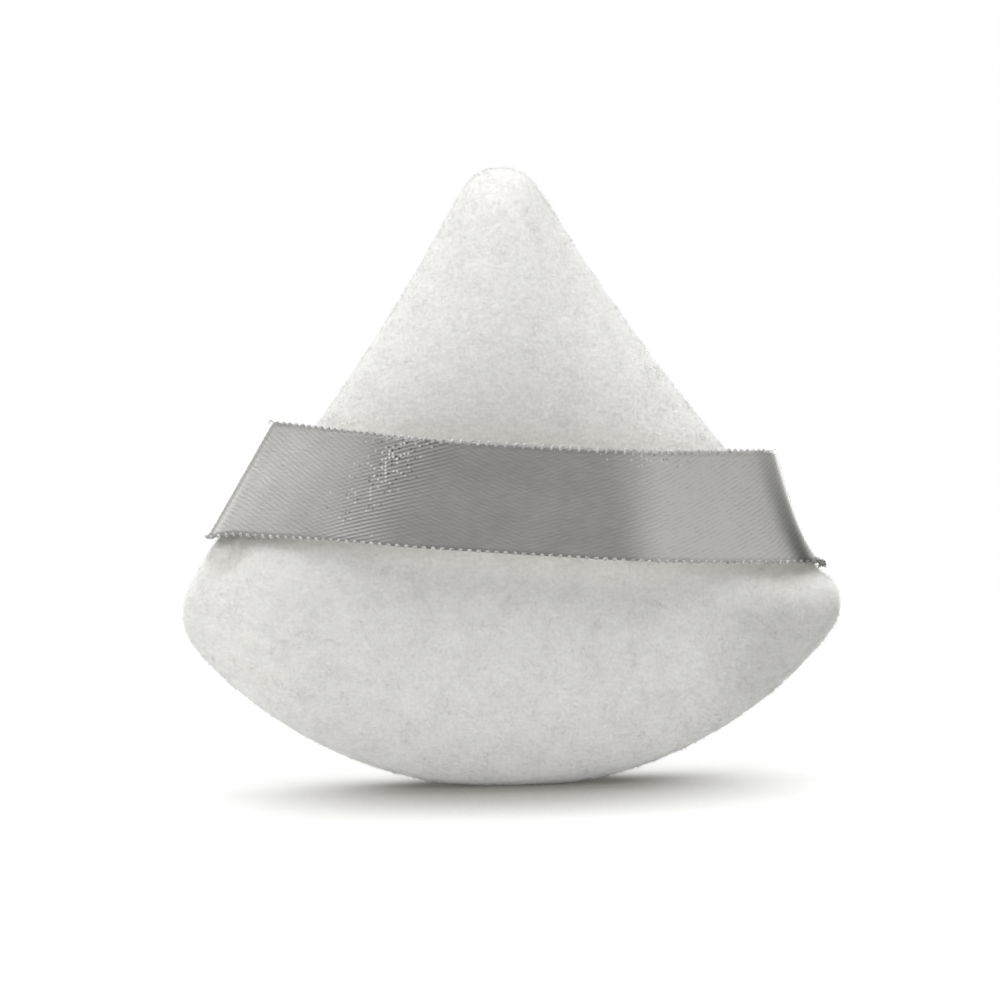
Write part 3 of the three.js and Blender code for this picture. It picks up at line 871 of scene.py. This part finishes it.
def pile(name, piece, ribbon_tree, seed):
    """Short fibres all over a cover: each a sliver that leans with the nap."""
    own = np.random.default_rng(seed)
    points, normals, corners = surface_of(piece)
    a, b, c = (points[corners[:, k]] for k in range(3))
    middles = (a + b + c) / 3
    area = np.linalg.norm(np.cross(b - a, c - a), axis=1)
    in_gap = np.abs(middles[:, 1] - SEAM_Y) < HALF_GAPS.min() + GAP_MARGIN
    in_gap &= share_at(middles[:, [0, 2]]) < GAP_RIM_SHARE
    area[in_gap | (middles[:, 2] < FOOT_MARGIN)] = 0
    chosen = own.choice(len(area), PILE_COUNT, p=area / area.sum())
    u, v = own.random((2, PILE_COUNT))
    turned = u + v > 1
    u, v = np.where(turned, 1 - u, u), np.where(turned, 1 - v, v)
    weights = np.stack([1 - u - v, u, v], 1)[:, :, None]
    at = (points[corners[chosen]] * weights).sum(1)
    normal = unit((normals[corners[chosen]] * weights).sum(1))
    # Roots gather in the knit's rows.
    row = np.round(at[:, 2] / PILE_ROW) * PILE_ROW
    at[:, 2] += (row - at[:, 2]) * ROW_PULL
    root = at - normal * PILE_ROOT
    lean = NAP - normal * (normal @ NAP)[:, None]
    tuft = np.stack([waves(at, TUFT_SIZE, seed + k, 10) for k in (3, 4, 5)], 1) * TUFT_LEAN
    direction = unit(normal + lean + tuft + own.normal(size=at.shape) * FIBRE_SPREAD)
    length = PILE_LENGTH * own.uniform(*PILE_LENGTHS, PILE_COUNT)
    length *= 1 + 0.12 * waves(at, 2.5 * MM, seed + 6, 10)
    low, high = RIBBON_HEIGHTS
    for i in np.nonzero((at[:, 2] > low) & (at[:, 2] < high))[0]:
        hit = ribbon_tree.ray_cast(Vector(root[i]), Vector(direction[i]), length[i] + 0.1 * MM)
        if hit[0] is not None:
            length[i] = max(hit[3] - RIBBON_CLEARANCE, 0)
    keep = length > SHORTEST_FIBRE
    root, direction, length, normal = root[keep], direction[keep], length[keep], normal[keep]
    tip = root + direction * length[:, None]
    across = unit(np.cross(direction, own.normal(size=direction.shape)))
    half = across * PILE_WIDTH / 2
    verts = np.stack([root - half, root + half, tip], 1).reshape(-1, 3)
    verts[:, 2] = np.maximum(verts[:, 2], 0.02 * MM)
    faces = np.arange(len(verts)).reshape(-1, 3)
    facing = np.einsum("ij,ij->i", np.cross(half, direction), normal)
    faces[facing < 0] = faces[facing < 0][:, ::-1]
    fibres = new_piece(name, verts, faces.tolist(), PILE)
    shade = unit(normal + direction * 0.2 + own.normal(size=normal.shape) * 0.12)
    fibres.data.normals_split_custom_set_from_vertices(np.repeat(shade, 3, axis=0).tolist())
    mark_pressed(fibres, np.repeat(root, 3, axis=0))
    return fibres


# The band

def band_frame():
    """Rows of points across the band, the direction that each faces, and its lengths in metres."""
    lower, upper = band_edge("lower"), band_edge("upper")
    station = (lengths_along(lower) + lengths_along(upper)) / 2
    wanted = np.linspace(0, station[-1], round(station[-1] / BAND_ROW))
    lower, upper = points_at(wanted, station, lower), points_at(wanted, station, upper)
    along = unit(np.gradient(lower, axis=0) + np.gradient(upper, axis=0))
    facing = unit(np.cross(along, upper - lower))
    return lower, upper, facing, wanted


BAND_LOWER, BAND_UPPER, BAND_FACING, BAND_STATION = band_frame()

# Loose threads at the lower corners: the way they hang, over how many millimetres of the edge they
# start, how many there are, and how dark they are.
FRAYS = [
    {"edge": BAND_LOWER[::-1], "way": (0, -0.35, -1), "reach": 2.4, "count": 13, "shade": 0.7},
    {"edge": BAND_LOWER, "way": (-0.3, -0.2, -0.9), "reach": 1.2, "count": 5, "shade": 0.1},
]
FRAY_LENGTHS = (0.3, 0.75)
FRAY_RADII = (0.045, 0.07)
FRAY_SIDES = 5


def bell(x, middle, width):
    return math.exp(-((x - middle) / width) ** 2)


def weave_masks(at, share):
    """What the satin looks like at a point of the band: how open its weave is, how much painted
    glint it has, how much painted shade darkens it as it turns at the right fold, and how much
    light is painted on it.

    Places are millimetres from the middle; share is 0 at the lower edge and 1 at the upper one.
    """
    x, below = at[0] / MM, 1 - share
    # The weave opens at the left bend, which slants over the band, and a little on the right.
    left_bend = bell(x, 8 * share - 16.6, 3.6)
    right_part = 0.08 * smoothstep(x, 10 + 2 * below, 15) * (1 - smoothstep(x, 24, 30))

    clumps = 0.75 + 0.25 * waves(np.array([at]), 2.2 * MM, 8, 9)[0]
    left_glint = bell(x, 9.1 * share - 18.6, 2.2) * smoothstep(share, 0, 0.7)
    right_glint = 0.5 * bell(x, 14.5, 3.6) * smoothstep(share, 0.78, 0.97)
    glint = max(left_glint, right_glint) * clumps

    # Painted shade where it turns at the right fold.
    right_fold = 27.9 + 4.2 * below - 1.6 * share * below
    turned = smoothstep(x, right_fold - 3.0, right_fold - 1.1)
    turned *= 1 - smoothstep(x, right_fold - 0.8, right_fold + 0.1)
    turned *= 0.25 + 0.75 * below

    # Painted light: lighter on the right panel, on the left one and along the left fold.
    left_fold = 7 * share - 32
    lit = smoothstep(x, 9 + 2 * below, 16) * (1 - 0.15 * smoothstep(x, 22, 28))
    lit += 0.37 * (1 - smoothstep(x, -18, -10))
    lit += 0.65 * (1 - smoothstep(x, left_fold + 0.3, left_fold + 1.6))
    return max(left_bend, right_part, 0.02), min(max(glint, 0), 1), turned, lit


def ribbon_piece():
    """The satin between the woven edges, a closed sheet with its cloth coordinates and masks."""
    rows, columns = len(BAND_STATION), BAND_COLUMNS
    edge = 0.7 * SELVEDGE / BAND_WIDTH
    shares = np.linspace(edge, 1 - edge, columns + 1)
    # The right fold is hollow between its corners.
    middle = (BAND_LOWER[:, 0] + BAND_UPPER[:, 0]) / 2
    start, end = (middle.max() - reach for reach in RIGHT_FOLD_REACH)
    hollow = RIGHT_FOLD_HOLLOW * smoothstep(middle, start, end)
    outward = np.array([math.cos(BAND_TILT), 0, -math.sin(BAND_TILT)])
    verts, uvs, masks = [], [], []
    for out in (1, -1):
        for i in range(rows):
            for share in shares:
                at = BAND_LOWER[i] + (BAND_UPPER[i] - BAND_LOWER[i]) * share
                at = at - outward * hollow[i] * math.sin(math.pi * share**RIGHT_FOLD_SKEW)
                verts.append(at + BAND_FACING[i] * out * BAND_THICKNESS / 2)
                uvs.append((BAND_STATION[i], share * BAND_WIDTH))
                masks.append(weave_masks(at, share))
    row = columns + 1
    layer_size = rows * row
    faces = []
    for i in range(rows - 1):
        for j in range(columns):
            a = i * row + j
            faces.append((a, a + row, a + row + 1, a + 1))
            b = layer_size + a
            faces.append((b, b + 1, b + row + 1, b + row))
        for j, flip in ((0, False), (columns, True)):
            a = i * row + j
            wall = (a, layer_size + a, layer_size + a + row, a + row)
            faces.append(wall[::-1] if flip else wall)
    for i, flip in ((0, False), (rows - 1, True)):
        for j in range(columns):
            a = i * row + j
            wall = (a, a + 1, layer_size + a + 1, layer_size + a)
            faces.append(wall[::-1] if flip else wall)
    piece = new_piece("satin_ribbon", verts, faces, SATIN)
    uv = piece.data.uv_layers.new(name="cloth")
    for loop in piece.data.loops:
        uv.data[loop.index].uv = uvs[loop.vertex_index]
    open_weave, glint, turned, lit = zip(*masks)
    mark(piece, open_weave=open_weave, glint=glint, turned=turned, lit=lit)
    return piece


def bead_chain(name, edge, other, radii, slant):
    """Woven beads along an edge of the band: slanted ovals with even steps."""
    inwards = unit(other - edge)
    middle = edge + inwards * SELVEDGE
    station = lengths_along(middle)
    verts, faces, dark = [], [], []
    for place in np.arange(TAIL, station[-1] - TAIL, BEAD_PITCH):
        centre = points_at(place, station, middle)
        facing = unit(points_at(place, station, BAND_FACING))
        up = unit(points_at(place, station, inwards))
        # The upper corners are smooth.
        if name == "upper_selvedge" and abs(facing[1]) < 0.6:
            continue
        along = unit(np.cross(up, facing))
        long_axis = along * math.cos(slant) + up * math.sin(slant)
        short_axis = up * math.cos(slant) - along * math.sin(slant)
        size = np.array(radii) * MM * rng.uniform(*BEAD_SIZES, 3)
        # The edge is drawn thin as it turns into the seam, and dark at the lower right: painted
        # shade where the band turns at the right fold.
        size *= 0.5 + 0.5 * smoothstep(-facing[1], 0.3, 0.9)
        start = len(verts)
        verts.append(centre - long_axis * size[0])
        for r in range(1, BEAD_RINGS):
            latitude = math.pi * r / BEAD_RINGS
            for k in range(BEAD_SIDES):
                turn = 2 * math.pi * k / BEAD_SIDES
                verts.append(centre - long_axis * size[0] * math.cos(latitude)
                    + short_axis * size[1] * math.sin(latitude) * math.cos(turn)
                    + facing * size[2] * math.sin(latitude) * math.sin(turn))
        verts.append(centre + long_axis * size[0])
        last = len(verts) - 1
        shade = 0.75 * smoothstep(centre[0], 29.3 * MM, 31.3 * MM)
        dark += [shade] * (len(verts) - start)
        rings = [[start + 1 + r * BEAD_SIDES + k % BEAD_SIDES for k in range(BEAD_SIDES + 1)]
            for r in range(BEAD_RINGS - 1)]
        for k in range(BEAD_SIDES):
            faces.append((start, rings[0][k + 1], rings[0][k]))
            faces.append((last, rings[-1][k], rings[-1][k + 1]))
            for lower, upper in zip(rings, rings[1:]):
                faces.append((lower[k], lower[k + 1], upper[k + 1], upper[k]))
    piece = new_piece(name, verts, faces, WOVEN)
    mark(piece, turned=dark)
    return piece


def strand(points, radius, verts, faces):
    """Adds a thin round thread through points, pointed at its end."""
    sides = FRAY_SIDES
    start = len(verts)
    along = unit(np.gradient(points, axis=0))
    for i, (at, way) in enumerate(zip(points, along)):
        side = unit(np.cross(way, (0.3, 0.9, 0.2)))
        other = np.cross(way, side)
        size = radius * (1 if i < len(points) - 1 else 0.3)
        for k in range(sides):
            angle = 2 * math.pi * k / sides
            verts.append(at + (side * math.cos(angle) + other * math.sin(angle)) * size)
    for i in range(len(points) - 1):
        for k in range(sides):
            a, b = start + i * sides + k, start + i * sides + (k + 1) % sides
            faces.append((a, b, b + sides, a + sides))
    faces.append(tuple(range(start + sides - 1, start - 1, -1)))
    faces.append(tuple(start + (len(points) - 1) * sides + k for k in range(sides)))


def frayed_ends():
    """Loose ends of the satin's threads where its lower corners go into the seam."""
    own = np.random.default_rng(17)
    verts, faces, dark = [], [], []
    for fray in FRAYS:
        edge = fray["edge"]
        corner = np.argmax(np.abs(edge[:, 0]))
        rows = int(fray["reach"] * MM / BAND_ROW)
        for _ in range(fray["count"]):
            root = edge[corner + int(own.integers(0, rows))].copy()
            root += own.normal(size=3) * 0.1 * MM + np.array([0, 0, 0.15 * MM])
            way_out = unit(np.array(fray["way"]) + own.normal(size=3) * (0.5, 0.2, 0.25))
            curl = unit(np.cross(way_out, own.normal(size=3))) * own.uniform(-0.35, 0.35)
            length = own.uniform(*FRAY_LENGTHS) * MM
            steps = np.linspace(0, 1, 6)[:, None]
            points = root + way_out * length * steps + curl * length * steps**2
            strand(points, own.uniform(*FRAY_RADII) * MM, verts, faces)
        dark += [fray["shade"]] * (len(verts) - len(dark))
    piece = new_piece("frayed_threads", verts, faces, WOVEN)
    mark(piece, turned=dark)
    return piece


# The foam core

def foam_piece():
    """The covers' filling: their inner form, with a groove all round for the seam allowance."""
    plan, depth, faces = layer(HALF_THICKNESS - CLOTH - FOAM_CROWN_GAP, CLOTH + FOAM_RIM_GAP,
        FOAM_LIP)
    start = len(plan)
    plan = np.vstack([plan, RIM - RIM_NORMALS * (ALLOWANCE + FOAM_GROOVE)])
    depth = np.concatenate([depth, FOLDS + FOAM_LIP])
    faces += ring_faces(0, start, flipped=True)
    total = len(plan)
    faces += [tuple(v + total for v in face[::-1]) for face in faces]
    faces += ring_faces(start, total + start, flipped=True)
    halves = [np.stack([plan[:, 0], SEAM_Y + side * depth, plan[:, 1]], 1) for side in (-1, 1)]
    return new_piece("foam_fill", np.vstack(halves), faces, FOAM)


# Pieces and what they stand for

front = cover("velour_front", 1)
back = cover("velour_back", -1)
for piece, node, side, seed in ((front, "front_cover", 1, 21), (back, "back_cover", -1, 43)):
    finish_cover(piece, side, seed)
    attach(piece, "root")
    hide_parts(node)

ribbon = ribbon_piece()
selvedges = [bead_chain("lower_selvedge", BAND_LOWER, BAND_UPPER, *LOWER_BEAD),
    bead_chain("upper_selvedge", BAND_UPPER, BAND_LOWER, *UPPER_BEAD)]
frayed = frayed_ends()
for piece in (ribbon, *selvedges, frayed):
    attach(piece, "root")
    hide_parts("satin_band")

ribbon_tree = tree_of(ribbon.data)
for name, piece, node, seed in (("pile_front", front, "front_cover", 5),
        ("pile_back", back, "back_cover", 6)):
    fibres = pile(name, piece, ribbon_tree, seed)
    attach(fibres, "root")
    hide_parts(node)

foam = foam_piece()
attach(foam, "root")
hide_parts("foam_core")

for name in ("needle_thread", "bobbin_thread", "closing_thread", "left_band_basting",
        "right_band_basting"):
    for place in frame["nodes"][name].material_slots:
        place.material = THREAD


# Stage

def floor():
    """The paper that the puff stands on."""
    material, tree, shader = material_of("paper", (0.84, 0.84, 0.835), 1)
    corners = [(-4, -4, 0), (4, -4, 0), (4, 4, 0), (-4, 4, 0)]
    plane = new_piece("floor", corners, [(0, 1, 2, 3)], material)
    seen = add(tree, "LightPath").outputs
    distance = add(tree, "VectorMath", {0: own_place(tree)}, operation="LENGTH")
    distance = distance.outputs["Value"]

    # Its light on the puff comes from near it; the table beyond is darker.
    beyond = eased(tree, distance, 35 * MM, 130 * MM)
    sheet = blend(tree, beyond, (0.88, 0.88, 0.875, 1), (0.5, 0.5, 0.495, 1))
    fill_in(tree, shader, {"Base Color": sheet, "Specular IOR Level": 0})

    # To the camera the paper is white, but for the puff's shadow, which falls forwards.
    forwards = add(tree, "CombineXYZ", {"Y": 0.55, "Z": 0.835}).outputs["Vector"]
    open_share = add(tree, "AmbientOcclusion", {"Distance": 27 * MM, "Normal": forwards},
        samples=8).outputs["AO"]
    tone = ramp(tree, open_share, [(0.3, (0.3, 0.29, 0.265)), (0.74, (0.95, 0.95, 0.945))])
    soft = ramp(tree, open_share, [(0.25, (0.24, 0.23, 0.205)), (0.74, (1, 1, 1))])
    diffuse = add(tree, "BsdfDiffuse", {"Color": tone}).outputs[0]
    glow = add(tree, "Emission", {"Color": soft}).outputs[0]
    near = either(tree, 0.5, diffuse, glow)
    white = add(tree, "Emission", {"Strength": 1.0}).outputs[0]
    far = eased(tree, distance, 50 * MM, 250 * MM)
    shown = either(tree, far, near, white)

    # In the satin's gloss it is darker, as the table in front of the paper is.
    table = add(tree, "BsdfDiffuse", {"Color": (0.35, 0.35, 0.35, 1)}).outputs[0]
    others = either(tree, seen["Is Glossy Ray"], shader.outputs[0], table)
    surface = either(tree, seen["Is Camera Ray"], others, shown)
    fill_in(tree, tree.nodes["Material Output"], {"Surface": surface})


def world():
    """Plain light all round: white to the camera, dimmer on the puff and dimmest in its gloss."""
    sky = bpy.data.worlds.new("studio")
    bpy.context.scene.world = sky
    sky.use_nodes = True
    tree = sky.node_tree
    seen = add(tree, "LightPath").outputs
    level = maths(tree, "MULTIPLY_ADD", seen["Is Camera Ray"], 0.68, 0.32)
    level = maths(tree, "MULTIPLY_ADD", seen["Is Glossy Ray"], -0.2, level)
    fill_in(tree, tree.nodes["Background"], {"Color": (1, 1, 1, 1), "Strength": level})


def lamp(name, azimuth, elevation, distance, size, level):
    """A square softbox. azimuth is from the front towards the right, and level is how bright it
    makes a white surface that faces it."""
    data = bpy.data.lights.new(name, "AREA")
    data.shape = "SQUARE"
    data.size = size
    data.energy = level * math.pi**2 * distance**2
    light = new_object(name, data)
    a, e = math.radians(azimuth), math.radians(elevation)
    away = Vector((math.sin(a) * math.cos(e), -math.cos(a) * math.cos(e), math.sin(e)))
    aim = Vector((0, 0, FULLEST_HEIGHT))
    light.location = aim + distance * away
    light.rotation_euler = (-away).to_track_quat("-Z", "Y").to_euler()


def camera():
    data = bpy.data.cameras.new("camera")
    data.sensor_width = SENSOR
    data.lens = SENSOR * VIEW_DISTANCE / VIEW_WIDTH
    data.clip_start = 0.01
    eye = new_object("camera", data)
    away = Vector((0, -math.cos(VIEW_ELEVATION), math.sin(VIEW_ELEVATION)))
    eye.location = VIEW_TARGET + away * VIEW_DISTANCE
    turn = Euler((math.pi / 2 - VIEW_ELEVATION, 0, 0)).to_matrix()
    roll = Euler((0, 0, VIEW_ROLL)).to_matrix()
    eye.rotation_euler = (turn @ roll).to_euler()
    bpy.context.scene.camera = eye


# The softboxes: azimuth and elevation in degrees, distance and size in metres, and level.
LAMPS = {
    "top_box": (180, 80, 1.0, 0.7, 0.43),
    "front_box": (0, 50, 1.0, 0.6, 0.4),
    "left_box": (-72, 30, 0.8, 0.5, 0.29),
    "right_box": (80, 50, 0.8, 0.5, 0.25),
    "rear_left_box": (-149, 14, 0.8, 0.4, 0.25),
    "rear_right_box": (150, 14, 0.8, 0.4, 0.2),
}

floor()
world()
for name, values in LAMPS.items():
    lamp(name, *values)
camera()
bpy.context.scene.view_settings.view_transform = "Standard"
